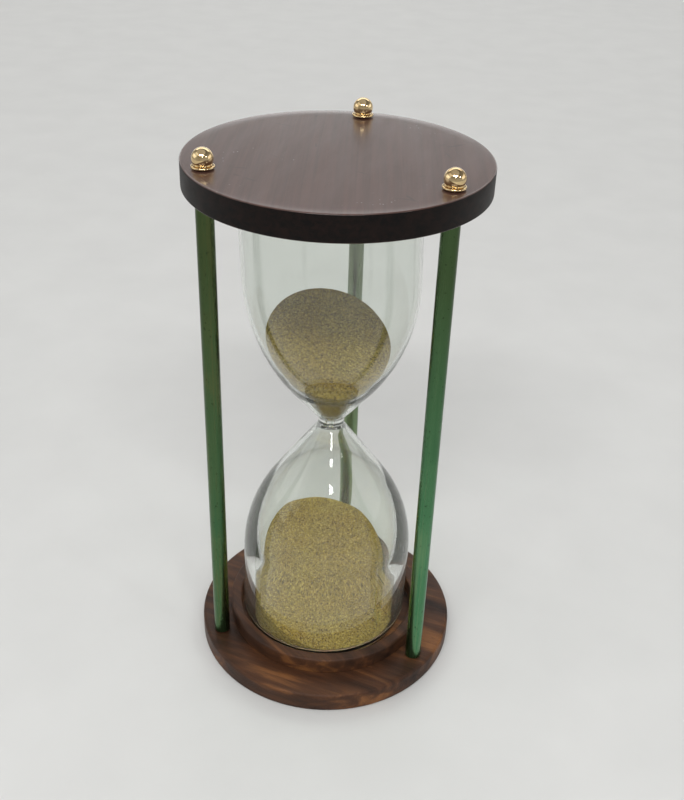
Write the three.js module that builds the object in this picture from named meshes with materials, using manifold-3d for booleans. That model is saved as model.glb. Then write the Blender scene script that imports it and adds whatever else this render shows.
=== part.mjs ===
// Desk hourglass: a one-piece double glass bulb held between two round wooden end plates
// by three brass posts. Millimetres, +Z up, origin at the centre of the base's underside.
import * as THREE from 'three';
import { mergeVertices } from 'three/addons/utils/BufferGeometryUtils.js';
import Module from 'manifold-3d';

const wasm = await Module();
wasm.setup();

// ---- driving dimensions -----------------------------------------------------------------

const FIT_GAP = 0.3;                  // clearance left between pieces that touch
const FRAME_HEIGHT = 199;             // base underside to top plate's upper face
const PLATE_RADIUS = 50.4;
const BASE_THICKNESS = 8.2;
const TOP_THICKNESS = 9;
const TOP_EDGE_RADIUS = 0.5;
const BASE_EDGE_RADIUS = 1.2;

const RING_OUTER_RADIUS = 38.8;       // seat rings round the two ends of the glass
const RING_INNER_RADIUS = 34.5;
const BASE_RING_HEIGHT = 6.3;
const TOP_RING_HEIGHT = 4.2;
const RING_EDGE_RADIUS = 0.8;
const DISC_RADIUS = 30;               // cork discs that cushion the glass's two ends
const DISC_THICKNESS = 1.0;

const POST_ANGLES = { back: 88, left: 210, right: 330 };
const POST_CIRCLE_RADIUS = 44.3;
const POST_RADIUS = 3;
const STUD_RADIUS = 1.9;              // threaded end turned down on each post
const STUD_HOLE_RADIUS = 2.2;
const TOP_STUD_REACH = 3.6;           // how far the upper stud stands into its ball nut

const COUNTERBORE_RADIUS = 5.4;       // recess under the base for washer and nut
const COUNTERBORE_DEPTH = 5.0;
const WASHER_RADIUS = 4.5;
const WASHER_THICKNESS = 0.8;
const HEX_NUT_ACROSS_FLATS = 7;
const HEX_NUT_HEIGHT = 2.8;
const HEX_NUT_CHAMFER = 0.35;
const HEX_NUT_CLEARANCE = 0.1;        // keeps the chamfer's envelope clear of the six flats

const BALL_RADIUS = 3.45;
const BALL_CENTRE_HEIGHT = 2.9;       // above the nut's own foot
const BALL_NECK_RADIUS = 2.75;
const BALL_FLANGE_RADIUS = 3.75;
const BALL_FLANGE_HEIGHT = 0.9;
const BALL_BORE_DEPTH = 3.9;

const FILL_HOLE_RADIUS = 4;           // hole in the lower bulb's end, through which it was filled
const OUTER_NECK_RADIUS = 4.8;
const OUTER_NECK_FILLET = 4.4;
const BORE_RADIUS = 0.9;              // narrow passage through the waist
const BORE_HALF_LENGTH = 2.3;
const FUNNEL_RADIUS = 5;              // rounded bottom of each chamber, round the bore's mouth
const UPPER_OUTER_WALL = { cone: 38.6, shoulder: 70, cylinder: 30.8, corner: 4.5 };
const LOWER_OUTER_WALL = { cone: 35.2, shoulder: 55, cylinder: 32.6, corner: 4.5 };
const UPPER_INNER_WALL = { cone: 39, shoulder: 64, cylinder: 29.6, corner: 3.5 };
const LOWER_INNER_WALL = { cone: 35.4, shoulder: 50, cylinder: 28.3, corner: 2 };
const UPPER_END_THICKNESS = 1.7;
const LOWER_END_THICKNESS = 1.2;
const UPPER_DRIFT = [-2.4, 0];        // how far off the axis each end of the blown glass stands
const LOWER_DRIFT = [-0.9, -1];

// Each body of sand has one tilted flat surface: its height on the axis, its slope and the
// compass angle of its low side, from +X towards +Y.
const UPPER_SURFACE = { level: 127, slope: 25, lowSide: 295 };
const LOWER_SURFACE = { level: 27, slope: 29, lowSide: 300 };
const SAND_GAP = 0.3;

const PLATE_SEGMENTS = 48;            // facets round the plates, the glass and the small pieces
const GLASS_SEGMENTS = 32;
const SMALL_SEGMENTS = 16;
const SHOULDER_STEPS = 5;
const CORNER_STEPS = 3;
const EDGE_STEPS = 2;
const BALL_STEPS = 6;

// ---- values that follow from them -------------------------------------------------------

const TOP_PLATE_UNDERSIDE = FRAME_HEIGHT - TOP_THICKNESS;
const MIDDLE = (BASE_THICKNESS + TOP_PLATE_UNDERSIDE) / 2;
const GLASS_BOTTOM = BASE_THICKNESS + FIT_GAP + DISC_THICKNESS + FIT_GAP;
const GLASS_HALF_LENGTH = MIDDLE - GLASS_BOTTOM;
const UPPER_CHAMBER_LENGTH = GLASS_HALF_LENGTH - UPPER_END_THICKNESS;
const LOWER_CHAMBER_LENGTH = GLASS_HALF_LENGTH - LOWER_END_THICKNESS;

const darkWood = material(0x3b2723, 0.28, 0);
const redWood = material(0x64412d, 0.5, 0);
const brass = material(0xb08d4a, 0.25, 1);
const steel = material(0x9a9a98, 0.35, 1);
const clearGlass = material(0xdfe9e4, 0.05, 0);
const sand = material(0xa28a58, 0.9, 0);
const cork = material(0xb08a5c, 0.9, 0);

function material(color, roughness, metalness) {
  return new THREE.MeshStandardMaterial({ color, roughness, metalness });
}

// ---- shape helpers ----------------------------------------------------------------------

const radians = THREE.MathUtils.degToRad;
const point = (radius, height) => new THREE.Vector2(radius, height);

// Points of a round arc in the profile plane, from one angle to another, in degrees.
function arc(centreRadius, centreHeight, radius, from, to, steps) {
  const points = [];
  for (let i = 0; i <= steps; i += 1) {
    const angle = radians(from + ((to - from) * i) / steps);
    points.push(point(
      centreRadius + radius * Math.cos(angle),
      centreHeight + radius * Math.sin(angle),
    ));
  }
  return points;
}

// Spins a profile about the Z axis; the profile runs upwards along the outside.
function turned(profile, segments) {
  const geometry = new THREE.LatheGeometry(profile, segments);
  geometry.rotateX(Math.PI / 2);
  return geometry;
}

function cylinder(radius, bottom, top, segments) {
  const profile = [point(0, bottom), point(radius, bottom), point(radius, top), point(0, top)];
  return turned(profile, segments);
}

function tube(outer, inner, bottom, top, segments) {
  const profile = [
    point(inner, bottom), point(outer, bottom), point(outer, top), point(inner, top),
    point(inner, bottom),
  ];
  return turned(profile, segments);
}

function toSolid(geometry) {
  const bare = geometry.clone();
  bare.deleteAttribute('normal');
  bare.deleteAttribute('uv');
  const merged = mergeVertices(bare, 1e-4);
  return new wasm.Manifold(new wasm.Mesh({
    numProp: 3,
    vertProperties: new Float32Array(merged.attributes.position.array),
    triVerts: new Uint32Array(merged.index.array),
  }));
}

function toGeometry(solid) {
  const mesh = solid.getMesh();
  const geometry = new THREE.BufferGeometry();
  geometry.setAttribute('position', new THREE.BufferAttribute(mesh.vertProperties, 3));
  geometry.setIndex(new THREE.BufferAttribute(mesh.triVerts, 1));
  return geometry;
}

function cut(geometry, tools) {
  let solid = toSolid(geometry);
  for (const tool of tools) solid = solid.subtract(toSolid(tool));
  return toGeometry(solid);
}

function postPlace(name) {
  const angle = radians(POST_ANGLES[name]);
  return [POST_CIRCLE_RADIUS * Math.cos(angle), POST_CIRCLE_RADIUS * Math.sin(angle)];
}

// A disc with eased edges, standing on height 0.
function discProfile(radius, thickness, edge) {
  return [
    point(0, 0),
    ...arc(radius - edge, edge, edge, -90, 0, EDGE_STEPS),
    ...arc(radius - edge, thickness - edge, edge, 0, 90, EDGE_STEPS),
    point(0, thickness),
  ];
}

// The glass's outside from the waist to where the cone begins.
const outerWaist = (cone) => arc(
  OUTER_NECK_RADIUS + OUTER_NECK_FILLET, 0, OUTER_NECK_FILLET, 180, 180 - cone, CORNER_STEPS,
);

// The bottom of a chamber, from the bore's mouth to where the cone begins.
const funnel = (cone, gap) => arc(
  BORE_RADIUS, BORE_HALF_LENGTH + FUNNEL_RADIUS, FUNNEL_RADIUS - gap, -90, -cone, CORNER_STEPS,
);

// Half of a bulb's wall as a curve of height above the waist: the given start, a straight
// cone, shoulder arc, cylinder and corner arc up to the flat end.
function bulbHalf(start, wall, length) {
  const slope = radians(wall.cone);
  const coneStart = start[start.length - 1];
  const coneEndRadius = wall.cylinder - wall.shoulder * (1 - Math.cos(slope));
  const coneEnd = coneStart.y + (coneEndRadius - coneStart.x) / Math.tan(slope);
  const shoulderEnd = coneEnd + wall.shoulder * Math.sin(slope);
  return [
    ...start,
    ...arc(wall.cylinder - wall.shoulder, shoulderEnd, wall.shoulder, -wall.cone, 0, SHOULDER_STEPS),
    ...arc(wall.cylinder - wall.corner, length - wall.corner, wall.corner, 0, 90, CORNER_STEPS),
  ];
}

const outerHalf = (wall) => bulbHalf(outerWaist(wall.cone), wall, GLASS_HALF_LENGTH);
const innerHalf = (wall, length) => [
  point(BORE_RADIUS, 0),
  ...bulbHalf(funnel(wall.cone, 0), wall, length),
];

// A body of sand's outline: the chamber's wall moved inwards by the sand's gap.
function sandHalf(wall, length) {
  const moved = {
    cone: wall.cone,
    shoulder: wall.shoulder - SAND_GAP,
    cylinder: wall.cylinder - SAND_GAP,
    corner: wall.corner - SAND_GAP,
  };
  const top = length - SAND_GAP;
  return [
    point(0, BORE_HALF_LENGTH + SAND_GAP),
    ...bulbHalf(funnel(wall.cone, SAND_GAP), moved, top),
    point(0, top),
  ];
}

const upper = (points) => points.map((p) => point(p.x, MIDDLE + p.y));
const lower = (points) => points.map((p) => point(p.x, MIDDLE - p.y)).reverse();

// Moves blown shapes off the axis, by the square of the distance from the waist.
function drift(geometry) {
  const places = geometry.attributes.position;
  for (let i = 0; i < places.count; i += 1) {
    const height = places.getZ(i) - MIDDLE;
    const share = (height / GLASS_HALF_LENGTH) ** 2;
    const [x, y] = height > 0 ? UPPER_DRIFT : LOWER_DRIFT;
    places.setXY(i, places.getX(i) + x * share, places.getY(i) + y * share);
  }
  return geometry;
}

// ---- pieces -----------------------------------------------------------------------------

function basePlate() {
  const tools = [];
  for (const name of Object.keys(POST_ANGLES)) {
    const [x, y] = postPlace(name);
    const hole = cylinder(STUD_HOLE_RADIUS, -1, BASE_THICKNESS + 1, SMALL_SEGMENTS);
    const recess = cylinder(COUNTERBORE_RADIUS, -1, COUNTERBORE_DEPTH, SMALL_SEGMENTS);
    tools.push(hole.translate(x, y, 0), recess.translate(x, y, 0));
  }
  const profile = discProfile(PLATE_RADIUS, BASE_THICKNESS, BASE_EDGE_RADIUS);
  return cut(turned(profile, PLATE_SEGMENTS), tools);
}

function topPlate() {
  const tools = Object.keys(POST_ANGLES).map((name) => {
    const [x, y] = postPlace(name);
    const hole = cylinder(STUD_HOLE_RADIUS, -1, TOP_THICKNESS + 1, SMALL_SEGMENTS);
    return hole.translate(x, y, 0);
  });
  const profile = discProfile(PLATE_RADIUS, TOP_THICKNESS, TOP_EDGE_RADIUS);
  return cut(turned(profile, PLATE_SEGMENTS), tools);
}

// A seat ring standing on height 0, with its free end's two edges eased.
function seatRing(height) {
  const free = height - RING_EDGE_RADIUS;
  return turned([
    point(RING_INNER_RADIUS, 0),
    point(RING_OUTER_RADIUS, 0),
    ...arc(RING_OUTER_RADIUS - RING_EDGE_RADIUS, free, RING_EDGE_RADIUS, 0, 90, EDGE_STEPS),
    ...arc(RING_INNER_RADIUS + RING_EDGE_RADIUS, free, RING_EDGE_RADIUS, 90, 180, EDGE_STEPS),
    point(RING_INNER_RADIUS, 0),
  ], PLATE_SEGMENTS);
}

function glass() {
  const outside = [
    point(FILL_HOLE_RADIUS, MIDDLE - GLASS_HALF_LENGTH),
    ...lower(outerHalf(LOWER_OUTER_WALL)),
    ...upper(outerHalf(UPPER_OUTER_WALL)).slice(1),
    point(0, MIDDLE + GLASS_HALF_LENGTH),
  ];
  const inside = [
    point(FILL_HOLE_RADIUS, MIDDLE - LOWER_CHAMBER_LENGTH),
    ...lower(innerHalf(LOWER_INNER_WALL, LOWER_CHAMBER_LENGTH)),
    ...upper(innerHalf(UPPER_INNER_WALL, UPPER_CHAMBER_LENGTH)).slice(1),
    point(0, MIDDLE + UPPER_CHAMBER_LENGTH),
  ];
  return drift(turned([...inside.reverse(), ...outside], GLASS_SEGMENTS));
}

// Everything above a tilted surface.
function spaceAbove(surface) {
  const size = 400;
  const space = new THREE.BoxGeometry(size, size, size);
  space.translate(0, 0, size / 2);
  space.rotateY(radians(surface.slope));
  space.rotateZ(radians(surface.lowSide));
  return space.translate(0, 0, surface.level);
}

function upperSand() {
  const body = turned(upper(sandHalf(UPPER_INNER_WALL, UPPER_CHAMBER_LENGTH)), GLASS_SEGMENTS);
  return cut(drift(body), [spaceAbove(UPPER_SURFACE)]);
}

function lowerSand() {
  const body = turned(lower(sandHalf(LOWER_INNER_WALL, LOWER_CHAMBER_LENGTH)), GLASS_SEGMENTS);
  return cut(drift(body), [spaceAbove(LOWER_SURFACE)]);
}

// A post with a shoulder at each end and a thinner threaded stud beyond it.
function post() {
  const shoulderLow = BASE_THICKNESS + FIT_GAP;
  const shoulderHigh = TOP_PLATE_UNDERSIDE - FIT_GAP;
  return turned([
    point(0, 2 * FIT_GAP),
    point(STUD_RADIUS, 2 * FIT_GAP),
    point(STUD_RADIUS, shoulderLow),
    point(POST_RADIUS, shoulderLow),
    point(POST_RADIUS, shoulderHigh),
    point(STUD_RADIUS, shoulderHigh),
    point(STUD_RADIUS, FRAME_HEIGHT + TOP_STUD_REACH),
    point(0, FRAME_HEIGHT + TOP_STUD_REACH),
  ], SMALL_SEGMENTS);
}

// A ball nut standing on height 0: flange, short neck, ball, and a blind bore from below.
function ballNut() {
  const ballStart = THREE.MathUtils.radToDeg(Math.asin(
    (BALL_FLANGE_HEIGHT + FIT_GAP - BALL_CENTRE_HEIGHT) / BALL_RADIUS,
  ));
  return turned([
    point(0, BALL_BORE_DEPTH),
    point(STUD_HOLE_RADIUS, BALL_BORE_DEPTH),
    point(STUD_HOLE_RADIUS, 0),
    point(BALL_FLANGE_RADIUS, 0),
    point(BALL_FLANGE_RADIUS, BALL_FLANGE_HEIGHT - FIT_GAP),
    point(BALL_NECK_RADIUS, BALL_FLANGE_HEIGHT),
    ...arc(0, BALL_CENTRE_HEIGHT, BALL_RADIUS, ballStart, 90, BALL_STEPS),
  ], SMALL_SEGMENTS);
}

// A hexagonal nut standing on height 0, its corners chamfered at both faces.
function hexNut() {
  const cornerRadius = HEX_NUT_ACROSS_FLATS / Math.sqrt(3);
  const faceRadius = HEX_NUT_ACROSS_FLATS / 2;
  const prism = cylinder(cornerRadius, 0, HEX_NUT_HEIGHT, 6);
  const envelope = turned([
    point(0, 0),
    point(faceRadius, 0),
    point(cornerRadius + HEX_NUT_CLEARANCE, HEX_NUT_CHAMFER),
    point(cornerRadius + HEX_NUT_CLEARANCE, HEX_NUT_HEIGHT - HEX_NUT_CHAMFER),
    point(faceRadius, HEX_NUT_HEIGHT),
    point(0, HEX_NUT_HEIGHT),
  ], SMALL_SEGMENTS);
  const bore = cylinder(STUD_HOLE_RADIUS, -1, HEX_NUT_HEIGHT + 1, SMALL_SEGMENTS);
  const body = toSolid(prism).intersect(toSolid(envelope));
  return toGeometry(body.subtract(toSolid(bore)));
}

// ---- assembly ---------------------------------------------------------------------------

const hourglass = new THREE.Group();

function place(name, geometry, look, x = 0, y = 0, z = 0) {
  const mesh = new THREE.Mesh(geometry, look);
  mesh.name = name;
  mesh.position.set(x, y, z);
  hourglass.add(mesh);
  return mesh;
}

place('base_plate', basePlate(), redWood);
place('base_ring', seatRing(BASE_RING_HEIGHT), redWood, 0, 0, BASE_THICKNESS + FIT_GAP);
place('base_cork_disc', cylinder(DISC_RADIUS, 0, DISC_THICKNESS, GLASS_SEGMENTS), cork,
  0, 0, BASE_THICKNESS + FIT_GAP);

place('top_plate', topPlate(), darkWood, 0, 0, TOP_PLATE_UNDERSIDE);
const topRing = place('top_ring', seatRing(TOP_RING_HEIGHT), darkWood,
  0, 0, TOP_PLATE_UNDERSIDE - FIT_GAP);
topRing.rotation.x = Math.PI;
place('top_cork_disc', cylinder(DISC_RADIUS, 0, DISC_THICKNESS, GLASS_SEGMENTS), cork,
  0, 0, TOP_PLATE_UNDERSIDE - FIT_GAP - DISC_THICKNESS);

place('glass_bulbs', glass(), clearGlass);
place('fill_plug', cylinder(FILL_HOLE_RADIUS - FIT_GAP, 0, LOWER_END_THICKNESS, SMALL_SEGMENTS), cork,
  ...LOWER_DRIFT, GLASS_BOTTOM);
place('upper_sand', upperSand(), sand);
place('lower_sand', lowerSand(), sand);

const washerBottom = COUNTERBORE_DEPTH - FIT_GAP - WASHER_THICKNESS;
const nutBottom = washerBottom - FIT_GAP - HEX_NUT_HEIGHT;
for (const name of Object.keys(POST_ANGLES)) {
  const [x, y] = postPlace(name);
  const washer = tube(WASHER_RADIUS, STUD_HOLE_RADIUS, 0, WASHER_THICKNESS, SMALL_SEGMENTS);
  place(`${name}_post`, post(), brass, x, y);
  place(`${name}_ball_nut`, ballNut(), brass, x, y, FRAME_HEIGHT + FIT_GAP);
  place(`${name}_washer`, washer, steel, x, y, washerBottom);
  place(`${name}_hex_nut`, hexNut(), steel, x, y, nutBottom);
}

export default hourglass;
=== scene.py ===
"""Desk hourglass: the visible pieces, their materials, the studio and the camera. Metres, +Z up."""

import math
import random

import bpy
import numpy as np
from mathutils import Matrix, Vector, noise


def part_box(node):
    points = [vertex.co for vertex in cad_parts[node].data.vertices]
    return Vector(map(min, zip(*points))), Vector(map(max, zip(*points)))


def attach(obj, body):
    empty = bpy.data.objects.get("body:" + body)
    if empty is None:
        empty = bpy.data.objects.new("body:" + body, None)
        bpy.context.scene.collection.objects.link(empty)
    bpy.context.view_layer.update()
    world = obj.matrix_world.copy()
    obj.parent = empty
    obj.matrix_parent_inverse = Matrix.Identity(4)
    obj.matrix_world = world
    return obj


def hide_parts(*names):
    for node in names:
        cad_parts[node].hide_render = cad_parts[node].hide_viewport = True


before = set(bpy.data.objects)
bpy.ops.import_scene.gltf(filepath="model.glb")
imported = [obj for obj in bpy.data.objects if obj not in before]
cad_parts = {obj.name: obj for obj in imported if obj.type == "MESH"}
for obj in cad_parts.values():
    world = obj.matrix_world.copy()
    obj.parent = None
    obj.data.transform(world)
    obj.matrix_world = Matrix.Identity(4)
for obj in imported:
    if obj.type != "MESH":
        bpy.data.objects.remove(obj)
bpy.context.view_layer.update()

BODY = "root"

# ---- camera ------------------------------------------------------------------------------

CAMERA_PLACE = (0.04865, -0.31790, 0.3058)
CAMERA_HEADING = 98.028  # degrees from +X towards +Y
CAMERA_PITCH = 31.66  # degrees below the horizon
CAMERA_ROLL = 1.944
CAMERA_LENS = 46.557


def make_camera():
    heading, pitch, roll = map(math.radians, (CAMERA_HEADING, CAMERA_PITCH, CAMERA_ROLL))
    forward = Vector((
        math.cos(heading) * math.cos(pitch),
        math.sin(heading) * math.cos(pitch),
        -math.sin(pitch),
    ))
    level_right = forward.cross(Vector((0, 0, 1))).normalized()
    level_up = level_right.cross(forward)
    right = level_right * math.cos(roll) + level_up * math.sin(roll)
    up = level_up * math.cos(roll) - level_right * math.sin(roll)
    data = bpy.data.cameras.new("camera")
    data.lens = CAMERA_LENS
    camera = bpy.data.objects.new("camera", data)
    turn = Matrix((right, up, -forward)).transposed().to_4x4()
    camera.matrix_world = Matrix.Translation(CAMERA_PLACE) @ turn
    bpy.context.scene.collection.objects.link(camera)
    bpy.context.scene.camera = camera


make_camera()

# ---- mesh helpers ------------------------------------------------------------------------

SHARP_ANGLE = math.radians(32)
ON_AXIS = 1e-7  # a profile point this close to the axis becomes one vertex


def arc(centre_radius, centre_height, radius, start, end, steps):
    """Points (radius, height) along a round arc of a profile, its angles in degrees."""
    points = []
    for i in range(steps + 1):
        angle = math.radians(start + (end - start) * i / steps)
        points.append((
            centre_radius + radius * math.cos(angle),
            centre_height + radius * math.sin(angle),
        ))
    return points


def straight(start, end, steps):
    """Evenly spaced profile points between two points, without the first one."""
    shares = [i / steps for i in range(1, steps + 1)]
    return [tuple(a + (b - a) * s for a, b in zip(start, end)) for s in shares]


def new_object(name, vertices, faces):
    mesh = bpy.data.meshes.new(name)
    mesh.from_pydata(vertices, [], faces)
    mesh.update()
    obj = bpy.data.objects.new(name, mesh)
    bpy.context.scene.collection.objects.link(obj)
    soften(obj)
    return obj


def soften(obj):
    """Smooth shading, broken at real edges."""
    obj.data.polygons.foreach_set("use_smooth", [True] * len(obj.data.polygons))
    obj.data.set_sharp_from_angle(angle=SHARP_ANGLE)


def turned(name, profile, segments, closed=False, shape=None, centre=(0, 0)):
    """Spins profile points about a vertical axis. The profile runs upwards along the outside;
    shape(angle, radius, height) may move each point and returns its radius and height."""
    rows, vertices, faces = [], [], []
    for radius, height in profile:
        count = segments if radius > ON_AXIS else 1
        row = []
        for k in range(count):
            angle = 2 * math.pi * k / segments
            r, z = shape(angle, radius, height) if shape else (radius, height)
            row.append(len(vertices))
            vertices.append((centre[0] + r * math.cos(angle), centre[1] + r * math.sin(angle), z))
        rows.append(row)
    above = rows[1:] + (rows[:1] if closed else [])
    for low, high in zip(rows, above):
        for k in range(segments):
            n = (k + 1) % segments
            corners = [low[k % len(low)], low[n % len(low)], high[n % len(high)], high[k % len(high)]]
            face = list(dict.fromkeys(corners))
            if len(face) > 2:
                faces.append(face)
    return new_object(name, vertices, faces)


def cut(obj, tools):
    """Cuts the tools' shapes out of obj and removes the tools."""
    for tool in tools:
        modifier = obj.modifiers.new("cut", "BOOLEAN")
        modifier.operation = "DIFFERENCE"
        modifier.solver = "EXACT"
        modifier.object = tool
    graph = bpy.context.evaluated_depsgraph_get()
    result = bpy.data.meshes.new_from_object(obj.evaluated_get(graph))
    result.name = obj.name
    obj.modifiers.clear()
    obj.data = result
    for tool in tools:
        bpy.data.objects.remove(tool)
    soften(obj)
    return obj


def add_piece(obj, material, slot, *nodes):
    obj.data.materials.clear()
    obj.data.materials.append(material)
    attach(obj, BODY)
    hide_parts(*nodes)
    return obj


# ---- node helpers ------------------------------------------------------------------------


class Look:
    """A material under construction: its tree, its Principled shader and short calls for nodes."""

    def __init__(self, name, **values):
        self.material = bpy.data.materials.new(name)
        self.material.use_nodes = True
        self.tree = self.material.node_tree
        self.shader = self.tree.nodes["Principled BSDF"]
        self.output = self.tree.nodes["Material Output"]
        self.place = self.tree.nodes.new("ShaderNodeTexCoord").outputs["Object"]
        self.set(**values)

    def set(self, **values):
        """Sets or links the shader's sockets; an underscore stands for a space."""
        for key, value in values.items():
            self.feed(self.shader.inputs[key.replace("_", " ")], value)

    def feed(self, socket, value):
        if isinstance(value, bpy.types.NodeSocket):
            self.tree.links.new(value, socket)
        elif isinstance(value, tuple) and len(value) == 3 and socket.type == "RGBA":
            socket.default_value = (*value, 1)
        else:
            socket.default_value = value

    def node(self, kind, inputs, **settings):
        made = self.tree.nodes.new(kind)
        for key, value in settings.items():
            setattr(made, key, value)
        for key, value in inputs.items():
            self.feed(made.inputs[key], value)
        return made

    def stretch(self, scale, turn=0.0, shift=(0, 0, 0)):
        """Object coordinates turned about Z by degrees, shifted, then scaled along each axis."""
        turned_place = self.node(
            "ShaderNodeMapping",
            {"Vector": self.place, "Rotation": (0, 0, math.radians(turn)), "Location": shift},
        ).outputs[0]
        return self.node("ShaderNodeMapping", {"Vector": turned_place, "Scale": scale}).outputs[0]

    def noise(self, vector, scale, detail=3.0, rough=0.5, distortion=0.0):
        return self.node(
            "ShaderNodeTexNoise",
            {"Vector": vector, "Scale": scale, "Detail": detail, "Roughness": rough,
             "Distortion": distortion},
        ).outputs["Fac"]

    def cells(self, vector, scale, feature="F1", output="Distance"):
        return self.node(
            "ShaderNodeTexVoronoi", {"Vector": vector, "Scale": scale}, feature=feature
        ).outputs[output]

    def ramp(self, value, stops):
        """Colours or greys by value; stops are (position, colour or grey)."""
        made = self.node("ShaderNodeValToRGB", {"Fac": value})
        elements = made.color_ramp.elements
        while len(elements) < len(stops):
            elements.new(0.5)
        for element, (position, colour) in zip(elements, stops):
            element.position = position
            element.color = (*colour, 1) if isinstance(colour, tuple) else (colour,) * 3 + (1,)
        return made.outputs["Color"]

    def remap(self, value, low, high, to_low, to_high):
        return self.node(
            "ShaderNodeMapRange",
            {"Value": value, "From Min": low, "From Max": high, "To Min": to_low, "To Max": to_high},
        ).outputs[0]

    def mix(self, factor, a, b, blend="MIX"):
        made = self.tree.nodes.new("ShaderNodeMix")
        made.data_type = "RGBA"
        made.blend_type = blend
        for socket, value in zip((made.inputs[0], made.inputs[6], made.inputs[7]), (factor, a, b)):
            self.feed(socket, value)
        return made.outputs[2]

    def maths(self, operation, a, b=0.0):
        made = self.tree.nodes.new("ShaderNodeMath")
        made.operation = operation
        self.feed(made.inputs[0], a)
        self.feed(made.inputs[1], b)
        return made.outputs[0]

    def weighted(self, a, share, b):
        """A share of a plus the rest of b."""
        rest = self.maths("MULTIPLY", b, 1 - share)
        return self.maths("ADD", self.maths("MULTIPLY", a, share), rest)

    def blend_shaders(self, factor, a, b):
        return self.node("ShaderNodeMixShader", {0: factor, 1: a, 2: b}).outputs[0]

    def bump(self, height, strength, distance):
        inputs = {"Height": height, "Strength": strength, "Distance": distance}
        return self.node("ShaderNodeBump", inputs).outputs[0]


# ---- wood --------------------------------------------------------------------------------

BASE_GRAIN_TURN = 14.0  # the grain's direction, in degrees from +X
RING_GRAIN_TURN = 39.0
TOP_GRAIN_TURN = 83.0
BASE_BRIGHTNESS = 0.49
RING_BRIGHTNESS = 0.45


def red_wood(name, grain_turn, shift, brightness):
    """Open-grained reddish brown wood under thin satin lacquer, its grain along one direction."""
    look = Look(name, Coat_Roughness=0.3, Coat_Weight=0.05, Specular_IOR_Level=0.22)
    broad = look.noise(look.stretch((9, 55, 55), grain_turn, shift), 1.0, 3, 0.55, 0.6)
    streaks = look.noise(look.stretch((14, 210, 210), grain_turn, shift), 1.0, 4, 0.58, 0.8)
    fibres = look.noise(look.stretch((70, 2600, 2600), grain_turn, shift), 1.0, 3, 0.6)
    pores = look.noise(look.stretch((260, 5200, 5200), grain_turn, shift), 1.0, 2, 0.5)
    figure = look.weighted(broad, 0.6, streaks)
    tones = [
        (0.36, (0.036, 0.016, 0.009)),
        (0.46, (0.110, 0.046, 0.022)),
        (0.53, (0.190, 0.076, 0.033)),
        (0.62, (0.480, 0.195, 0.066)),
    ]
    stops = [(position, tuple(c * brightness for c in tone)) for position, tone in tones]
    colour = look.ramp(figure, stops)
    colour = look.mix(0.55, colour, look.ramp(fibres, [(0.3, 0.55), (0.7, 1.0)]), "MULTIPLY")
    open_pore = look.ramp(pores, [(0.60, 0.0), (0.68, 1.0)])
    colour = look.mix(look.maths("MULTIPLY", open_pore, 0.7), colour, (0.018, 0.009, 0.006))
    relief = look.maths("SUBTRACT", look.maths("MULTIPLY", fibres, 0.4), open_pore)
    worn = look.noise(look.place, 60, 4, 0.6)
    look.set(
        Base_Color=colour,
        Roughness=look.remap(worn, 0.3, 0.7, 0.42, 0.6),
        Normal=look.bump(relief, 0.35, 0.00012),
    )
    return look.material


def dark_wood(name):
    """Maroon-brown stained wood under gloss lacquer, with fine scratches and specks of dust. The
    rim carries painted shade: its grain is painted nearly black, and it is barely lacquered."""
    look = Look(name, Coat_IOR=1.5, Coat_Roughness=0.17, Specular_IOR_Level=0.12)
    streaks = look.noise(look.stretch((12, 520, 520), TOP_GRAIN_TURN), 1.0, 5, 0.6, 0.6)
    broad = look.noise(look.stretch((14, 45, 45), TOP_GRAIN_TURN), 1.0, 3, 0.5, 0.5)
    colour = look.ramp(streaks, [
        (0.32, (0.070, 0.033, 0.025)),
        (0.50, (0.084, 0.040, 0.031)),
        (0.70, (0.100, 0.049, 0.037)),
    ])
    colour = look.mix(0.5, colour, look.ramp(broad, [(0.3, 0.7), (0.7, 1.0)]), "MULTIPLY")
    dust = look.cells(look.place, 420)
    dusty = look.ramp(look.noise(look.place, 38, 2, 0.5), [(0.57, 0.0), (0.66, 0.8)])
    speck = look.maths("MULTIPLY", look.ramp(dust, [(0.07, 1.0), (0.12, 0.0)]), dusty)
    scratch = look.cells(look.stretch((24, 42, 24), 38), 1.0, "DISTANCE_TO_EDGE")
    scratch = look.ramp(scratch, [(0.005, 1.0), (0.012, 0.0)])
    worn = look.ramp(look.noise(look.place, 95, 2, 0.5), [(0.57, 0.0), (0.64, 0.4)])
    colour = look.mix(look.maths("MULTIPLY", scratch, worn), colour, (0.020, 0.010, 0.008))
    colour = look.mix(look.maths("MULTIPLY", speck, 0.7), colour, (0.50, 0.47, 0.43))

    # painted shade: faces that do not face up or down, the rim, get a near-black colour
    normal = look.tree.nodes.new("ShaderNodeTexCoord").outputs["Normal"]
    upright = look.maths("ABSOLUTE", look.node("ShaderNodeSeparateXYZ", {0: normal}).outputs["Z"])
    flat = look.ramp(upright, [(0.35, 0.0), (0.75, 1.0)])
    # painted shade: the rim's grain colours, far darker than the faces because of how light falls on it
    rim_painted_shade = look.ramp(streaks, [
        (0.35, (0.0015, 0.0012, 0.0011)),
        (0.65, (0.0090, 0.0040, 0.0030)),
    ])
    haze = look.noise(look.stretch((30, 160, 160), TOP_GRAIN_TURN + 8), 1.0, 4, 0.6)
    look.set(
        Base_Color=look.mix(flat, rim_painted_shade, colour),
        Roughness=look.remap(haze, 0.3, 0.7, 0.40, 0.52),
        Coat_Weight=look.remap(flat, 0.0, 1.0, 0.04, 1.0),
        Normal=look.bump(streaks, 0.06, 0.0001),
    )
    return look.material


# ---- metal, cork, sand and glass ---------------------------------------------------------

# painted reflection tones of the posts, one lit and shaded set per side
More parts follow.
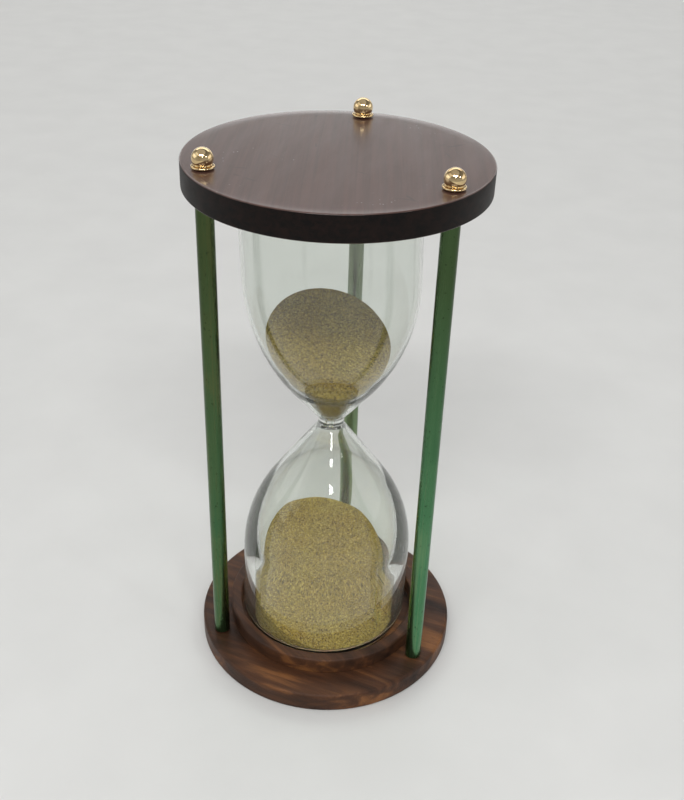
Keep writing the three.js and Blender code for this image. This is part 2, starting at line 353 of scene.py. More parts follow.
POST_PAINTED_REFLECTION_TONES = {
    "back": ((0.300, 0.330, 0.200), (0.240, 0.300, 0.170), (0.170, 0.250, 0.140)),
    "left": ((0.150, 0.170, 0.070), (0.085, 0.160, 0.070), (0.062, 0.150, 0.068)),
    "right": ((0.150, 0.285, 0.140), (0.092, 0.250, 0.120), (0.066, 0.215, 0.100)),
}  # painted reflection of the green cloth, where it is lightest, middling and darkest; each side is a lit and shaded copy
PAINTED_SHADE_FROM, PAINTED_SHADE_TO = 0.06, 0.17  # heights between which painted shade under the top plate turns the posts dark olive
PAINTED_SHADE_SHARE = 0.85
PAINTED_SHADE_OLIVE = (0.050, 0.070, 0.026)


def post_brass(name, bright, mid, dark):
    """Drawn brass rod with a painted reflection of green cloth, lighter in fine lengthwise lines, that
    turns to a dark olive painted shade higher up, under the top plate."""
    look = Look(name, Metallic=1.0, Specular_IOR_Level=0.5)
    lines = look.noise(look.stretch((1500, 1500, 14)), 1.0, 4, 0.6)
    clouds = look.noise(look.stretch((90, 90, 22)), 1.0, 4, 0.6, 0.4)
    # painted reflection of the green cloth in lengthwise streaks; the same pattern also sets the
    # roughness
    painted_reflection_pattern = look.weighted(lines, 0.35, clouds)
    colour = look.ramp(painted_reflection_pattern, [(0.36, bright), (0.47, mid), (0.62, dark)])
    height = look.node("ShaderNodeSeparateXYZ", {0: look.place}).outputs["Z"]
    # painted shade: darker olive towards the top plate
    colour = look.mix(look.remap(height, PAINTED_SHADE_FROM, PAINTED_SHADE_TO, 0.0, PAINTED_SHADE_SHARE), colour, PAINTED_SHADE_OLIVE)
    spots = look.ramp(look.noise(look.place, 900, 2, 0.5), [(0.66, 0.0), (0.72, 1.0)])
    colour = look.mix(look.maths("MULTIPLY", spots, 0.6), colour, (0.02, 0.03, 0.015))
    look.set(
        Base_Color=colour,
        Roughness=look.remap(painted_reflection_pattern, 0.35, 0.65, 0.22, 0.34),
        Normal=look.bump(lines, 0.12, 0.00004),
    )
    return look.material


def nut_brass():
    """Polished yellow brass, faintly dulled in patches, with hairline turning marks."""
    look = Look("nut_brass", Metallic=1.0)
    dull = look.noise(look.place, 320, 4, 0.6)
    marks = look.noise(look.stretch((80, 80, 5200)), 1.0, 2, 0.5)
    colour = look.ramp(dull, [
        (0.35, (0.80, 0.62, 0.36)),
        (0.55, (0.70, 0.52, 0.28)),
        (0.72, (0.46, 0.31, 0.15)),
    ])
    look.set(
        Base_Color=colour,
        Roughness=look.remap(dull, 0.35, 0.7, 0.07, 0.17),
        Normal=look.bump(marks, 0.05, 0.00002),
    )
    return look.material


def zinc_steel():
    """Zinc-plated steel with faint spangle and grime."""
    look = Look("zinc_steel", Metallic=1.0)
    spangle = look.cells(look.place, 900, output="Color")
    grime = look.noise(look.place, 500, 4, 0.6)
    colour = look.mix(0.25, (0.55, 0.55, 0.53), spangle, "SOFT_LIGHT")
    colour = look.mix(look.ramp(grime, [(0.55, 0.0), (0.75, 0.6)]), colour, (0.20, 0.18, 0.15))
    look.set(
        Base_Color=colour,
        Roughness=look.remap(grime, 0.3, 0.7, 0.28, 0.5),
        Normal=look.bump(grime, 0.15, 0.00005),
    )
    return look.material


CORK_GRANULES = 850  # per metre


def cork():
    """Pressed cork: pale brown granules with dark seams between them."""
    look = Look("cork", Roughness=0.9, Specular_IOR_Level=0.25)
    granule = look.cells(look.place, CORK_GRANULES, output="Color")
    seam = look.cells(look.place, CORK_GRANULES, "DISTANCE_TO_EDGE")
    colour = look.mix(0.35, (0.42, 0.27, 0.15), granule, "SOFT_LIGHT")
    colour = look.mix(look.ramp(seam, [(0.02, 0.8), (0.10, 0.0)]), colour, (0.10, 0.055, 0.03))
    look.set(Base_Color=colour, Normal=look.bump(seam, 0.6, 0.0002))
    return look.material


SAND_GRAINS = 2600  # per metre
DARK_GRAINS = 1350  # places for dark grains per metre, of which about a third are taken


def sand_look():
    """Golden tan sand with pale and brown grains and scattered dark ones."""
    look = Look("sand", Roughness=0.88, Specular_IOR_Level=0.2)
    grain = look.cells(look.place, SAND_GRAINS, output="Color")
    tone = look.node("ShaderNodeSeparateColor", {"Color": grain}).outputs[0]
    broad = look.noise(look.place, 70, 3, 0.55)
    colour = look.ramp(tone, [
        (0.00, (0.070, 0.038, 0.008)),
        (0.20, (0.185, 0.126, 0.026)),
        (0.75, (0.275, 0.202, 0.046)),
        (1.00, (0.420, 0.320, 0.090)),
    ])
    shade = look.ramp(broad, [(0.35, (0.84, 0.72, 0.52)), (0.65, 1.0)])
    colour = look.mix(0.6, colour, shade, "MULTIPLY")
    dark = look.cells(look.place, DARK_GRAINS)
    lot = look.cells(look.place, DARK_GRAINS, output="Color")
    lot = look.node("ShaderNodeSeparateColor", {"Color": lot}).outputs[0]
    taken = look.ramp(lot, [(0.27, 1.0), (0.31, 0.0)])
    spot = look.maths("MULTIPLY", look.ramp(dark, [(0.30, 0.80), (0.50, 0.0)]), taken)
    colour = look.mix(spot, colour, (0.060, 0.034, 0.010))
    bumps = look.cells(look.place, SAND_GRAINS)
    look.set(Base_Color=colour, Normal=look.bump(bumps, 0.5, 0.0003))
    return look.material


def clear_glass():
    """Blown glass with a faint green cast painted in for the green cloth's reflection, thin smudges and
    soft waves. Light from the lamps passes straight through it, so that the sand inside is lit."""
    look = Look("clear_glass", Transmission_Weight=1.0, IOR=1.48, Specular_IOR_Level=0.5)
    smear = look.noise(look.stretch((55, 55, 16)), 1.0, 5, 0.6, 0.5)
    wave = look.noise(look.stretch((40, 40, 12)), 1.0, 2, 0.5)
    look.set(
        # painted reflection: the faint green cast stands in for the reflected green cloth
        Base_Color=(0.920, 0.945, 0.918),
        Roughness=look.remap(smear, 0.45, 0.8, 0.0, 0.03),
        Normal=look.bump(wave, 0.05, 0.0004),
    )
    edge = look.node("ShaderNodeLayerWeight", {"Blend": 0.35}).outputs["Facing"]
    passed = look.ramp(edge, [(0.0, (0.93, 0.95, 0.935)), (0.75, (0.80, 0.84, 0.81)), (1.0, 0.45)])
    see_through = look.node("ShaderNodeBsdfTransparent", {"Color": passed}).outputs[0]
    film = look.node("ShaderNodeBsdfDiffuse", {"Color": (0.58, 0.61, 0.55)}).outputs[0]
    smudge = look.remap(smear, 0.3, 0.8, 0.012, 0.045)
    solid = look.blend_shaders(smudge, look.shader.outputs[0], film)
    lamp = look.node("ShaderNodeLightPath", {}).outputs["Is Shadow Ray"]
    whole = look.blend_shaders(lamp, solid, see_through)
    look.feed(look.output.inputs["Surface"], whole)
    return look.material


# ---- plates and rings --------------------------------------------------------------------

PLATE_SEGMENTS = 240
HOLE_SEGMENTS = 48
TOP_EDGE_RADIUS = 0.0006
BASE_EDGE_RADIUS = 0.0013
RING_INNER_RADIUS = 0.0345
RING_EDGE_RADIUS = 0.0009
RING_UNEVENNESS = 0.00012
CORK_EDGE_RADIUS = 0.0002
CORK_UNEVENNESS = 0.00015
STUD_HOLE_RADIUS = 0.0022
COUNTERBORE_RADIUS = 0.0054
COUNTERBORE_DEPTH = 0.0050
CUT_OVERSHOOT = 0.001  # how far a cutting tool stands past the faces that it cuts
SIDES = ("back", "left", "right")


def centre_of(node):
    low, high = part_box(node)
    return ((low.x + high.x) / 2, (low.y + high.y) / 2)


def plate_profile(radius, low, high, edge):
    """A disc with eased edges, its flat faces and its rim divided evenly."""
    return [
        (0, low),
        *straight((0, low), (radius - edge, low), 10)[:-1],
        *arc(radius - edge, low + edge, edge, -90, 0, 8),
        *straight((radius, low + edge), (radius, high - edge), 5)[:-1],
        *arc(radius - edge, high - edge, edge, 0, 90, 8),
        *straight((radius - edge, high), (0, high), 10),
    ]


def hand_eased(amount, scale):
    """A shape function that makes a turned edge slightly uneven, as sanding by hand does."""

    def shape(angle, radius, height):
        place = Vector((math.cos(angle) * radius, math.sin(angle) * radius, height)) * scale
        return radius + amount * noise.noise(place), height

    return shape


def bore_tool(centre, steps):
    """A cutting tool of round stretches stacked upwards; each is its radius, low and high end."""
    profile = [(0, steps[0][1])]
    for radius, low, high in steps:
        profile += [(radius, low), (radius, high)]
    profile.append((0, steps[-1][2]))
    return turned("bore_tool", profile, HOLE_SEGMENTS, centre=centre)


def make_plate(node, material, slot, edge, recessed):
    """A round plate with a hole for each stud and, if recessed, a wider recess below each hole."""
    low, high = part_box(node)
    profile = plate_profile(high.x, low.z, high.z, edge)
    plate = turned(node + "_wood", profile, PLATE_SEGMENTS)
    below, above = low.z - CUT_OVERSHOOT, high.z + CUT_OVERSHOOT
    steps = [(STUD_HOLE_RADIUS, below, above)]
    if recessed:
        ceiling = low.z + COUNTERBORE_DEPTH
        steps = [(COUNTERBORE_RADIUS, below, ceiling), (STUD_HOLE_RADIUS, ceiling, above)]
    cut(plate, [bore_tool(centre_of(side + "_post"), steps) for side in SIDES])
    return add_piece(plate, material, slot, node)


def make_ring(node, material, slot, opens_up):
    """A seat ring, its free end's two edges rounded."""
    low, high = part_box(node)
    outer, inner, edge = high.x, RING_INNER_RADIUS, RING_EDGE_RADIUS
    fixed, free, sign = (low.z, high.z, 1) if opens_up else (high.z, low.z, -1)
    bend = free - sign * edge
    profile = [
        (inner, fixed),
        (outer, fixed),
        *straight((outer, fixed), (outer, bend), 4)[:-1],
        *arc(outer - edge, bend, edge, 0, sign * 90, 8),
        *arc(inner + edge, bend, edge, sign * 90, sign * 180, 8),
        *straight((inner, bend), (inner, fixed), 4)[:-1],
    ]
    if not opens_up:
        profile.reverse()
    shape = hand_eased(RING_UNEVENNESS, 60)
    ring = turned(node + "_wood", profile, PLATE_SEGMENTS, closed=True, shape=shape)
    return add_piece(ring, material, slot, node)


def make_disc(node, name, material):
    """A cork disc or plug with crumbly edges."""
    low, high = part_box(node)
    radius = (high.x - low.x) / 2
    profile = plate_profile(radius, low.z, high.z, CORK_EDGE_RADIUS)
    disc = turned(name, profile, PLATE_SEGMENTS // 2, shape=hand_eased(CORK_UNEVENNESS, 700))
    return add_piece(disc, material, "cork", node)


# ---- posts and fasteners -----------------------------------------------------------------

POST_RADIUS = 0.003
POST_CHAMFER = 0.0003
SHOULDER_GAP = 0.0003  # between a post's shoulders and the plates
STUD_RADIUS = 0.0019
THREAD_PITCH = 0.0007
THREAD_DEPTH = 0.00024
THREAD_STEPS = 6  # rows per turn of the thread
ROUND_SEGMENTS = 48
BORE_RADIUS = 0.0022
BORE_THREAD_DEPTH = 0.00018
SAME_RADIUS = 1e-6  # how close a radius must be to count as the thread's own


def thread_wave(angle, height):
    """0 on a thread's crest and 1 in its root, along a right-handed helix."""
    turn = (height / THREAD_PITCH - angle / (2 * math.pi)) % 1.0
    return abs(2 * turn - 1)


def thread_rows(radius, low, high):
    count = max(2, round(abs(high - low) / THREAD_PITCH * THREAD_STEPS))
    return [(radius, low), *straight((radius, low), (radius, high), count)]


def make_post(side, material):
    """A rod with a shoulder and a threaded stud at each end."""
    node = side + "_post"
    low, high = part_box(node)
    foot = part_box("base_plate")[1].z + SHOULDER_GAP
    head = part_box("top_plate")[0].z - SHOULDER_GAP

    def threaded(angle, radius, height):
        stud = abs(radius - STUD_RADIUS) < SAME_RADIUS
        fade = min(1.0, abs(height - low.z) / THREAD_PITCH, abs(height - high.z) / THREAD_PITCH)
        fade = min(fade, abs(height - foot) / THREAD_PITCH, abs(height - head) / THREAD_PITCH)
        drop = THREAD_DEPTH * thread_wave(angle, height) * fade if stud else 0.0
        return radius - drop, height

    profile = [
        (0, low.z),
        (STUD_RADIUS - POST_CHAMFER, low.z),
        *thread_rows(STUD_RADIUS, low.z + POST_CHAMFER, foot),
        (POST_RADIUS - POST_CHAMFER, foot),
        (POST_RADIUS, foot + POST_CHAMFER),
        *straight((POST_RADIUS, foot + POST_CHAMFER), (POST_RADIUS, head - POST_CHAMFER), 24),
        (POST_RADIUS - POST_CHAMFER, head),
        *thread_rows(STUD_RADIUS, head, high.z - POST_CHAMFER),
        (STUD_RADIUS - POST_CHAMFER, high.z),
        (0, high.z),
    ]
    post = turned(node + "_rod", profile, ROUND_SEGMENTS, shape=threaded, centre=centre_of(node))
    return add_piece(post, material, "post_brass", node)


BALL_RADIUS = 0.00345
BALL_CENTRE_HEIGHT = 0.0029
BALL_NECK_RADIUS = 0.00262
BALL_NECK_HEIGHT = 0.00112
BALL_NECK_FILLET = 0.0003
BALL_FLANGE_RADIUS = 0.00378
BALL_FLANGE_HEIGHT = 0.00082
BALL_BORE_DEPTH = 0.0039
BALL_SEGMENTS = 96


def bore_threaded(angle, radius, height):
    bore = abs(radius - BORE_RADIUS) < SAME_RADIUS
    drop = BORE_THREAD_DEPTH * thread_wave(angle, height) if bore else 0.0
    return radius - drop, height


def make_ball_nut(side, material):
    """A ball on a short neck and a thin round flange, with a blind threaded bore."""
    node = side + "_ball_nut"
    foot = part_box(node)[0].z
    rim = 0.5 * BALL_FLANGE_HEIGHT
    neck_top = BALL_NECK_HEIGHT + BALL_NECK_FILLET
    neck_outer = BALL_NECK_RADIUS + BALL_NECK_FILLET
    start = math.degrees(math.asin((neck_top - BALL_CENTRE_HEIGHT) / BALL_RADIUS))
    outline = [
        (0, BALL_BORE_DEPTH),
        *reversed(thread_rows(BORE_RADIUS, 0, BALL_BORE_DEPTH)),
        *arc(BALL_FLANGE_RADIUS - rim, rim, rim, -90, 90, 12),
        *arc(neck_outer, BALL_NECK_HEIGHT, BALL_NECK_FILLET, -90, -180, 5),
        *arc(0, BALL_CENTRE_HEIGHT, BALL_RADIUS, start, 90, 40),
    ]
    profile = [(max(0.0, r), foot + h) for r, h in outline]
    centre = centre_of(node)
    nut = turned(node + "_brass", profile, BALL_SEGMENTS, shape=bore_threaded, centre=centre)
    return add_piece(nut, material, "nut_brass", node)


WASHER_EDGE_RADIUS = 0.00015


def make_washer(side, material):
    node = side + "_washer"
    low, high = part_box(node)
    outer, edge = (high.x - low.x) / 2, WASHER_EDGE_RADIUS
    profile = [
        *arc(BORE_RADIUS + edge, low.z + edge, edge, 180, 270, 4),
        *arc(outer - edge, low.z + edge, edge, -90, 0, 4),
        *arc(outer - edge, high.z - edge, edge, 0, 90, 4),
        *arc(BORE_RADIUS + edge, high.z - edge, edge, 90, 180, 4),
    ]
    washer = turned(node + "_steel", profile, BALL_SEGMENTS, closed=True, centre=centre_of(node))
    return add_piece(washer, material, "fastener_steel", node)


HEX_NUT_APOTHEM = 0.0035  # from the axis to a flat
HEX_NUT_FACE_RADIUS = 0.0034  # where the 30 degree cone starts on each face
HEX_NUT_BEVEL = 0.0006


def make_hex_nut(side, material):
    """Six flats, corners cut back by a 30 degree cone at both faces, and a threaded bore."""
    node = side + "_hex_nut"
    low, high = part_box(node)
    reach = HEX_NUT_APOTHEM / math.cos(math.radians(30))
    bevel_low, bevel_high = low.z + HEX_NUT_BEVEL, high.z - HEX_NUT_BEVEL

    def faceted(angle, radius, height):
        if radius < HEX_NUT_FACE_RADIUS:
            return bore_threaded(angle, radius, height)
        off_flat = (angle + math.pi / 6) % (math.pi / 3) - math.pi / 6
        depth = min(height - low.z, high.z - height)
        cone = HEX_NUT_FACE_RADIUS + depth / math.tan(math.radians(30))
        return min(HEX_NUT_APOTHEM / math.cos(off_flat), cone), height

    profile = [
        *reversed(thread_rows(BORE_RADIUS, low.z, high.z)),
        (HEX_NUT_FACE_RADIUS, low.z),
        *straight((reach, low.z), (reach, bevel_low), 6),
        *straight((reach, bevel_low), (reach, bevel_high), 4),
        *straight((reach, bevel_high), (reach, high.z), 6)[:-1],
        (HEX_NUT_FACE_RADIUS, high.z),
    ]
    centre = centre_of(node)
    nut = turned(
        node + "_steel", profile, BALL_SEGMENTS, closed=True, shape=faceted, centre=centre
    )
    return add_piece(nut, material, "fastener_steel", node)


# ---- glass -------------------------------------------------------------------------------

OUTER_NECK_RADIUS = 0.0048
OUTER_NECK_FILLET = 0.0044
GLASS_BORE_RADIUS = 0.0009
GLASS_BORE_HALF_LENGTH = 0.0023
FUNNEL_RADIUS = 0.005
# cone angle, shoulder arc, cylinder radius, corner arc
UPPER_OUTER_WALL = (38.6, 0.070, 0.0308, 0.0045)
LOWER_OUTER_WALL = (35.2, 0.055, 0.0326, 0.0045)
UPPER_INNER_WALL = (39.0, 0.064, 0.0296, 0.0035)
LOWER_INNER_WALL = (35.4, 0.050, 0.0283, 0.0020)
UPPER_END_THICKNESS = 0.0017
LOWER_END_THICKNESS = 0.0012
UPPER_DRIFT = (-0.0024, 0.0)
LOWER_DRIFT = (-0.0009, -0.0010)
FILL_HOLE_RADIUS = 0.004
GLASS_SEGMENTS = 192
SWELLING = 0.00014  # how far blown glass swells and shrinks
SWELLING_PER_METRE = 22
SWELLING_FROM, SWELLING_FADE = 0.006, 0.015  # radius where it begins, distance over which it grows
RING_RELIEF = 0.00004
RING_SPACING = 0.0105
RINGS_FROM, RINGS_FADE_IN = 0.0052, 0.002
RINGS_TO, RINGS_FADE_OUT = 0.024, 0.006
SAND_GAP = 0.0001  # between the glass and the sand
GLASS_LOW, GLASS_HIGH = (corner.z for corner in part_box("glass_bulbs"))
MIDDLE = (GLASS_LOW + GLASS_HIGH) / 2
HALF_LENGTH = (GLASS_HIGH - GLASS_LOW) / 2
UPPER_CHAMBER_LENGTH = HALF_LENGTH - UPPER_END_THICKNESS
LOWER_CHAMBER_LENGTH = HALF_LENGTH - LOWER_END_THICKNESS


def outer_waist(cone):
    """The glass's outside from the waist to where the cone begins."""
    return arc(OUTER_NECK_RADIUS + OUTER_NECK_FILLET, 0, OUTER_NECK_FILLET, 180, 180 - cone, 12)


def funnel(cone, gap):
    """The rounded bottom of a chamber, from the bore's mouth to where the cone begins."""
    centre = GLASS_BORE_HALF_LENGTH + FUNNEL_RADIUS
    return arc(GLASS_BORE_RADIUS, centre, FUNNEL_RADIUS - gap, -90, -cone, 12)


def bulb_half(start, wall, length):
    """Half of a bulb's wall as (radius, height above the waist), from the waist outwards: the
    given start, a straight cone, shoulder arc, cylinder and corner arc."""
    cone, shoulder, cylinder, corner = wall
    slope = math.radians(cone)
    cone_end_radius = cylinder - shoulder * (1 - math.cos(slope))
    cone_end = start[-1][1] + (cone_end_radius - start[-1][0]) / math.tan(slope)
    shoulder_end = cone_end + shoulder * math.sin(slope)
    return [
        *start,
        *straight(start[-1], (cone_end_radius, cone_end), 16)[:-1],
        *arc(cylinder - shoulder, shoulder_end, shoulder, -cone, 0, 30),
        *straight((cylinder, shoulder_end), (cylinder, length - corner), 12)[:-1],
        *arc(cylinder - corner, length - corner, corner, 0, 90, 12),
    ]


def outer_half(wall):
    return bulb_half(outer_waist(wall[0]), wall, HALF_LENGTH)


def inner_half(wall, length):
    return [
        *straight((GLASS_BORE_RADIUS, 0), (GLASS_BORE_RADIUS, GLASS_BORE_HALF_LENGTH), 4)[:-1],
        *bulb_half(funnel(wall[0], 0), wall, length),
    ]


def sand_half(wall, length):
    """The chamber's wall moved inwards by the sand's gap."""
    cone, shoulder, cylinder, corner = wall
    moved = (cone, shoulder - SAND_GAP, cylinder - SAND_GAP, corner - SAND_GAP)
    start = funnel(cone, SAND_GAP)
    return [(0, start[0][1]), *bulb_half(start, moved, length - SAND_GAP)]


def upwards(points):
    return [(r, MIDDLE + h) for r, h in points]


def downwards(points):
    return [(r, MIDDLE - h) for r, h in reversed(points)]


def drift(obj):
    """Moves blown shapes off the axis, by the square of the distance from the waist."""
    for vertex in obj.data.vertices:
        height = vertex.co.z - MIDDLE
        share = (height / HALF_LENGTH) ** 2
        x, y = UPPER_DRIFT if height > 0 else LOWER_DRIFT
        vertex.co.x += x * share
        vertex.co.y += y * share
    obj.data.update()
    return obj


def blown(angle, radius, height):
    """Slight unevenness of blown glass: broad swellings that fade out towards the neck, and faint
    rings left by the lathe on the cones only."""
    reach = min(1.0, max(0.0, (radius - SWELLING_FROM) / SWELLING_FADE))
    place = Vector((math.cos(angle), math.sin(angle), height * SWELLING_PER_METRE))
    swelling = SWELLING * reach * noise.noise(place)
    fade_in, fade_out = (radius - RINGS_FROM) / RINGS_FADE_IN, (RINGS_TO - radius) / RINGS_FADE_OUT
    near = max(0.0, min(1.0, fade_in, fade_out))
    turn = 2 * math.pi * height / RING_SPACING + math.cos(angle - 0.4)
    return radius + swelling + RING_RELIEF * near * math.sin(turn), height


def make_glass(material):
    outside = [
        (FILL_HOLE_RADIUS, GLASS_LOW),
        *downwards(outer_half(LOWER_OUTER_WALL)),
        *upwards(outer_half(UPPER_OUTER_WALL))[1:],
        (0, GLASS_HIGH),
    ]
    inside = [
        (FILL_HOLE_RADIUS, MIDDLE - LOWER_CHAMBER_LENGTH),
        *downwards(inner_half(LOWER_INNER_WALL, LOWER_CHAMBER_LENGTH)),
        *upwards(inner_half(UPPER_INNER_WALL, UPPER_CHAMBER_LENGTH))[1:],
        (0, MIDDLE + UPPER_CHAMBER_LENGTH),
    ]
    profile = [*reversed(inside), *outside]
    glass = turned("glass_bulbs_blown", profile, GLASS_SEGMENTS, shape=blown)
    return add_piece(drift(glass), material, "clear_glass", "glass_bulbs")


# ---- sand --------------------------------------------------------------------------------

# each surface is one tilted plane: height on the axis, slope and compass angle of its low side
UPPER_SURFACE = (0.1270, 25, 295)
LOWER_SURFACE = (0.0270, 29, 300)
SAND_SEGMENTS = 288
WALL_ROWS = 70
TOP_ROWS = 80
GRAIN_RELIEF = 0.00016
WALL_RELIEF = 0.00006
MOUND_RELIEF = 0.0007
RIM_ROWS = 12  # rows over which the mounds of the open surface fade out towards the wall


def sand_plane(surface, angle, radius):
    level, slope, low_side = surface
    return level - math.tan(math.radians(slope)) * radius * math.cos(angle - math.radians(low_side))


def wall_to_plane(wall, surface, angle):
    """The wall's points, from the sand's lowest point up, cut off where the sand's surface meets it."""
    kept = [wall[0]]
    for (r0, z0), (r1, z1) in zip(wall, wall[1:]):
        over0 = z0 - sand_plane(surface, angle, r0)
        over1 = z1 - sand_plane(surface, angle, r1)
        if over1 >= 0:
            share = over0 / (over0 - over1)
            kept.append((r0 + (r1 - r0) * share, z0 + (z1 - z0) * share))
            return kept
        kept.append((r1, z1))
    return kept


def evenly(points, rows):
    """The same path as rows + 1 points at equal steps."""
    path = np.array(points)
    along = np.concatenate([[0], np.cumsum(np.hypot(*np.diff(path, axis=0).T))])
    steps = np.linspace(0, along[-1], rows + 1)
    return np.stack([np.interp(steps, along, path[:, 0]), np.interp(steps, along, path[:, 1])], 1)


def sand_mesh(name, wall, surface):
    """A body of sand that fills the bulb up to a tilted, slightly uneven surface."""
    columns = []
    for k in range(SAND_SEGMENTS):
        angle = 2 * math.pi * k / SAND_SEGMENTS
        side = evenly(wall_to_plane(wall, surface, angle), WALL_ROWS)
        rim = side[-1][0]
        radii = rim * (1 - np.linspace(0, 1, TOP_ROWS + 1))[1:]
        top = [(r, sand_plane(surface, angle, r)) for r in radii]
        columns.append([*side, *top])
    last = len(columns[0]) - 1
    vertices = [Vector((0, 0, columns[0][0][1])), Vector((0, 0, surface[0]))]
    for row in range(1, last):
        for k in range(SAND_SEGMENTS):
            angle = 2 * math.pi * k / SAND_SEGMENTS
            r, z = columns[k][row]
            point = Vector((r * math.cos(angle), r * math.sin(angle), z))
            vertices.append(settle(point, row))
    return drift(new_object(name, vertices, sand_faces(last)))


def sand_faces(last):
    """Faces between the rows of sand_mesh, whose first two vertices are its lowest point and the
    middle of its open surface."""

    def at(row, k):
        return 2 + (row - 1) * SAND_SEGMENTS + k % SAND_SEGMENTS

    faces = []
    for k in range(SAND_SEGMENTS):
        faces.append((0, at(1, k + 1), at(1, k)))
        faces.append((1, at(last - 1, k), at(last - 1, k + 1)))
        for row in range(1, last - 1):
            faces.append((at(row, k), at(row, k + 1), at(row + 1, k + 1), at(row + 1, k)))
    return faces


def settle(point, row):
    """Moves a surface point by the relief of grains and, on the open surface, of low mounds."""
    grain = noise.noise(point * 1900) + 0.5 * noise.noise(point * 3400)
    if row <= WALL_ROWS:
        inward = Vector((point.x, point.y, 0)).normalized()
        return point - inward * WALL_RELIEF * (0.5 + 0.5 * grain)
    from_rim = min(1.0, (row - WALL_ROWS) / RIM_ROWS)
    mound = noise.noise(point * 75) + 0.35 * noise.noise(point * 260)
    return point + Vector((0, 0, GRAIN_RELIEF * grain + MOUND_RELIEF * mound * from_rim))


def make_sand(material):
    upper = upwards(sand_half(UPPER_INNER_WALL, UPPER_CHAMBER_LENGTH))
    lower = downwards(sand_half(LOWER_INNER_WALL, LOWER_CHAMBER_LENGTH))
    lower = [(0, lower[0][1]), *lower[:-1]]
    for name, wall, surface in (
        ("upper_sand", upper, UPPER_SURFACE),
        ("lower_sand", lower, LOWER_SURFACE),
    ):
        body = sand_mesh(name + "_body", wall, surface)
        add_piece(body, material, "sand", name)
        grains = loose_grains(name + "_loose_grains", body)
        grains.data.materials.append(material)
        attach(grains, BODY)


GRAIN_COUNT = 1500
GRAIN_SIZES = (0.00016, 0.00032)
GRAIN_REACH = 0.022  # grains thin out from this far out towards the axis, where vertices crowd
PHI = (1 + math.sqrt(5)) / 2
ICOSAHEDRON = [
    (-1, PHI, 0), (1, PHI, 0), (-1, -PHI, 0), (1, -PHI, 0), (0, -1, PHI), (0, 1, PHI),
    (0, -1, -PHI), (0, 1, -PHI), (PHI, 0, -1), (PHI, 0, 1), (-PHI, 0, -1), (-PHI, 0, 1),
]
ICOSAHEDRON_FACES = [
    (0, 11, 5), (0, 5, 1), (0, 1, 7), (0, 7, 10), (0, 10, 11), (1, 5, 9), (5, 11, 4),
    (11, 10, 2), (10, 7, 6), (7, 1, 8), (3, 9, 4), (3, 4, 2), (3, 2, 6), (3, 6, 8),
    (3, 8, 9), (4, 9, 5), (2, 4, 11), (6, 2, 10), (8, 6, 7), (9, 8, 1),
]


def loose_grains(name, body):
    """Single grains half sunk in the open surface of a body of sand."""
    chance = random.Random(name)
    points = body.data.vertices
    first_top = 2 + WALL_ROWS * SAND_SEGMENTS
    vertices, faces = [], []
    for _ in range(GRAIN_COUNT):
        seat = points[chance.randrange(first_top, len(points))].co
        if math.hypot(seat.x, seat.y) < chance.random() * GRAIN_REACH:
            continue
        size = chance.uniform(*GRAIN_SIZES) / math.hypot(1, PHI)
        start = len(vertices)
        squeeze = Vector([chance.uniform(0.7, most) for most in (1.3, 1.3, 1.1)])
        for corner in ICOSAHEDRON:
            jitter = Vector([chance.uniform(0.8, 1.2) for _ in range(3)])
            vertices.append(seat + Vector(corner) * size * squeeze * jitter)
        faces.extend(tuple(start + i for i in face) for face in ICOSAHEDRON_FACES)
    return new_object(name, vertices, faces)


# ---- the object --------------------------------------------------------------------------


def make_hourglass():
    base_wood = red_wood("base_wood", BASE_GRAIN_TURN, (0.013, 0.021, 0.0), BASE_BRIGHTNESS)
    ring_wood = red_wood("ring_wood", RING_GRAIN_TURN, (0.3, 0.1, 0.02), RING_BRIGHTNESS)
    stained = dark_wood("dark_wood")
    cork_look = cork()
    # each side's rod is its own copy, its painted reflection tones lit and shaded differently
    rods = {side: post_brass(side + "_post_brass", *POST_PAINTED_REFLECTION_TONES[side]) for side in SIDES}
    nuts, steel = nut_brass(), zinc_steel()
    make_plate("base_plate", base_wood, "base_wood", BASE_EDGE_RADIUS, True)
    make_ring("base_ring", ring_wood, "base_wood", True)
    make_plate("top_plate", stained, "dark_wood", TOP_EDGE_RADIUS, False)
    make_ring("top_ring", stained, "dark_wood", False)
    make_disc("base_cork_disc", "base_cork_pad", cork_look)
    make_disc("top_cork_disc", "top_cork_pad", cork_look)
    make_disc("fill_plug", "fill_plug_cork", cork_look)
    for side in SIDES:
        make_post(side, rods[side])
        make_ball_nut(side, nuts)
        make_washer(side, steel)
        make_hex_nut(side, steel)
    make_glass(clear_glass())
    make_sand(sand_look())


make_hourglass()

# ---- studio ------------------------------------------------------------------------------

FLOOR_REACH = 4.0
FLOOR_COLOUR = (0.70, 0.70, 0.685)
FLOOR_FLECK = 0.02
FOCUS = Vector((0, 0, 0.1))


def make_floor():
    reach = FLOOR_REACH
    corners = [(-reach, -reach, 0), (reach, -reach, 0), (reach, reach, 0), (-reach, reach, 0)]
    floor = new_object("floor", corners, [(0, 1, 2, 3)])
    look = Look("floor_paper", Roughness=0.9, Specular_IOR_Level=0.1)
    fleck = look.noise(look.place, 25, 3, 0.5)
    light = tuple(c * (1 + FLOOR_FLECK) for c in FLOOR_COLOUR)
    dim = tuple(c * (1 - FLOOR_FLECK) for c in FLOOR_COLOUR)
    look.set(Base_Color=look.ramp(fleck, [(0.3, dim), (0.7, light)]))
    floor.data.materials.append(look.material)


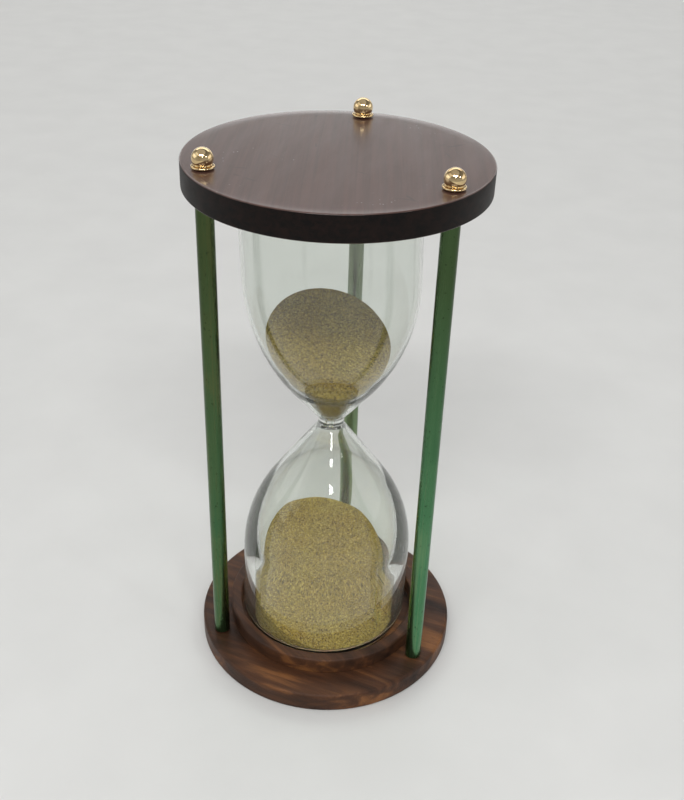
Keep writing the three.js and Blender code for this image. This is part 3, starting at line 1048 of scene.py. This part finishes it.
def area_light(name, heading, elevation, distance, size, power):
    """A rectangular light aimed at the object; heading in degrees from +X, size as width, height."""
    data = bpy.data.lights.new(name, "AREA")
    data.shape = "RECTANGLE"
    data.size, data.size_y = size
    data.energy = power
    light = bpy.data.objects.new(name, data)
    h, e = math.radians(heading), math.radians(elevation)
    away = Vector((math.cos(h) * math.cos(e), math.sin(h) * math.cos(e), math.sin(e)))
    light.location = FOCUS + away * distance
    light.rotation_mode = "QUATERNION"
    light.rotation_quaternion = away.to_track_quat("Z", "Y")
    light.visible_camera = False
    light.visible_transmission = False
    bpy.context.scene.collection.objects.link(light)


def make_overhead():
    """A very soft light from above, which keeps the floor even out to the horizon."""
    data = bpy.data.lights.new("overhead", "SUN")
    data.energy = 0.45
    data.angle = math.radians(80)
    light = bpy.data.objects.new("overhead", data)
    light.rotation_euler = (math.radians(12), math.radians(-8), 0)
    bpy.context.scene.collection.objects.link(light)


def make_world():
    """A grey surround that is brightest at the horizon."""
    world = bpy.data.worlds.new("studio")
    world.use_nodes = True
    tree = world.node_tree
    background = tree.nodes["Background"]
    direction = tree.nodes.new("ShaderNodeTexCoord").outputs["Generated"]
    split = tree.nodes.new("ShaderNodeSeparateXYZ")
    tree.links.new(direction, split.inputs[0])
    blend = tree.nodes.new("ShaderNodeValToRGB")
    tree.links.new(split.outputs["Z"], blend.inputs[0])
    horizon, zenith = blend.color_ramp.elements
    horizon.position = 0.0
    horizon.color = (0.46, 0.46, 0.45, 1)
    zenith.position = 0.9
    zenith.color = (0.13, 0.13, 0.13, 1)
    tree.links.new(blend.outputs[0], background.inputs["Color"])
    bpy.context.scene.world = world


def make_studio():
    make_floor()
    make_world()
    make_overhead()
    area_light("key_tube", 275, 50, 1.3, (1.0, 0.10), 8.5)
    area_light("front_window", 284, 35, 1.3, (0.14, 0.05), 0.85)
    area_light("right_window", 330, 33, 1.3, (0.12, 0.09), 1.0)
    area_light("fill", 200, 35, 1.6, (1.2, 0.9), 1.9)
    area_light("right_panel", 12, 17, 1.4, (1.2, 0.5), 1.9)
    area_light("left_panel", 186, 17, 1.4, (1.2, 0.5), 1.7)
    area_light("back_soft", 98, 42, 2.0, (2.8, 0.9), 13)
    area_light("back_low", 98, 11, 2.2, (3.0, 0.35), 4.5)
    scene = bpy.context.scene
    scene.view_settings.view_transform = "Standard"
    scene.cycles.max_bounces = 20
    scene.cycles.transmission_bounces = 16
    scene.cycles.transparent_max_bounces = 16
    scene.cycles.glossy_bounces = 8


make_studio()
